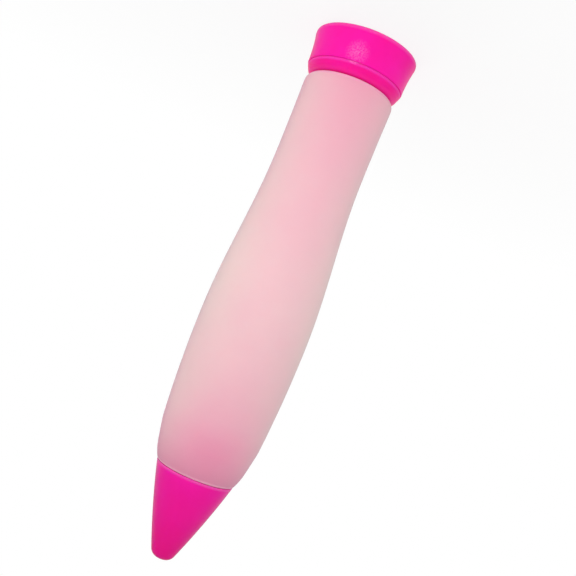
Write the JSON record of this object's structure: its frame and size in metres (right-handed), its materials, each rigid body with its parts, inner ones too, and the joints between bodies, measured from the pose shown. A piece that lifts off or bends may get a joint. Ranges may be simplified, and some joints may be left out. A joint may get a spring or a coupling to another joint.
{
  "type": "cake decorating pen",
  "caption": "Silicone squeeze pen for writing with icing or melted chocolate, with a screw-off filling cap, a screw-in nozzle and a pull-off tip cap.",
  "frame": {"origin": "centre of the end cap's foot ring, on the table that the pen stands on", "axes": "+Z along the pen's axis, from the flared end cap up to the tip; +X and +Y are across the round pen"},
  "size_m": [0.0346, 0.0346, 0.17],
  "materials": {
    "hot_pink_plastic": "moulded polypropylene, satin gloss",
    "frosted_silicone": "translucent matt silicone, pale pink",
    "white_plastic": "moulded polypropylene, natural white",
    "seal_silicone": "soft matt silicone, natural white"
  },
  "bodies": {
    "end_cap": {"end_cap": "hot_pink_plastic"},
    "liner": {"cap_liner": "seal_silicone"},
    "barrel": {"squeeze_barrel": "frosted_silicone", "filler_neck": "hot_pink_plastic", "collar_ring": "hot_pink_plastic", "nozzle_socket": "hot_pink_plastic", "socket_ring": "hot_pink_plastic"},
    "washer": {"nozzle_washer": "seal_silicone"},
    "nozzle": {"writing_nozzle": "white_plastic"},
    "tip_cap": {"tip_cap": "hot_pink_plastic"}
  },
  "joints": [
    {"name": "cap_turn", "type": "hinge", "parent": "end_cap", "child": "liner", "pos_m": [0, 0, 0.0025], "axis": [0, 0, 1], "range_deg": [0, 540]},
    {"name": "cap_lift", "type": "slide", "parent": "liner", "child": "barrel", "axis": [0, 0, 1], "range_m": [0, 0.006]},
    {"name": "nozzle_turn", "type": "hinge", "parent": "barrel", "child": "washer", "pos_m": [0, 0, 0.1457], "axis": [0, 0, 1], "range_deg": [0, 1260]},
    {"name": "nozzle_lift", "type": "slide", "parent": "washer", "child": "nozzle", "axis": [0, 0, 1], "range_m": [0, 0.0105]},
    {"name": "tip_cap_pull", "type": "slide", "parent": "nozzle", "child": "tip_cap", "axis": [0, 0, 1], "range_m": [0, 0.026]}
  ],
  "couplings": [
    {"joint": "cap_lift", "follows": "cap_turn", "m_per_rad": 0.00063662},
    {"joint": "nozzle_lift", "follows": "nozzle_turn", "m_per_rad": 0.00047746}
  ]
}
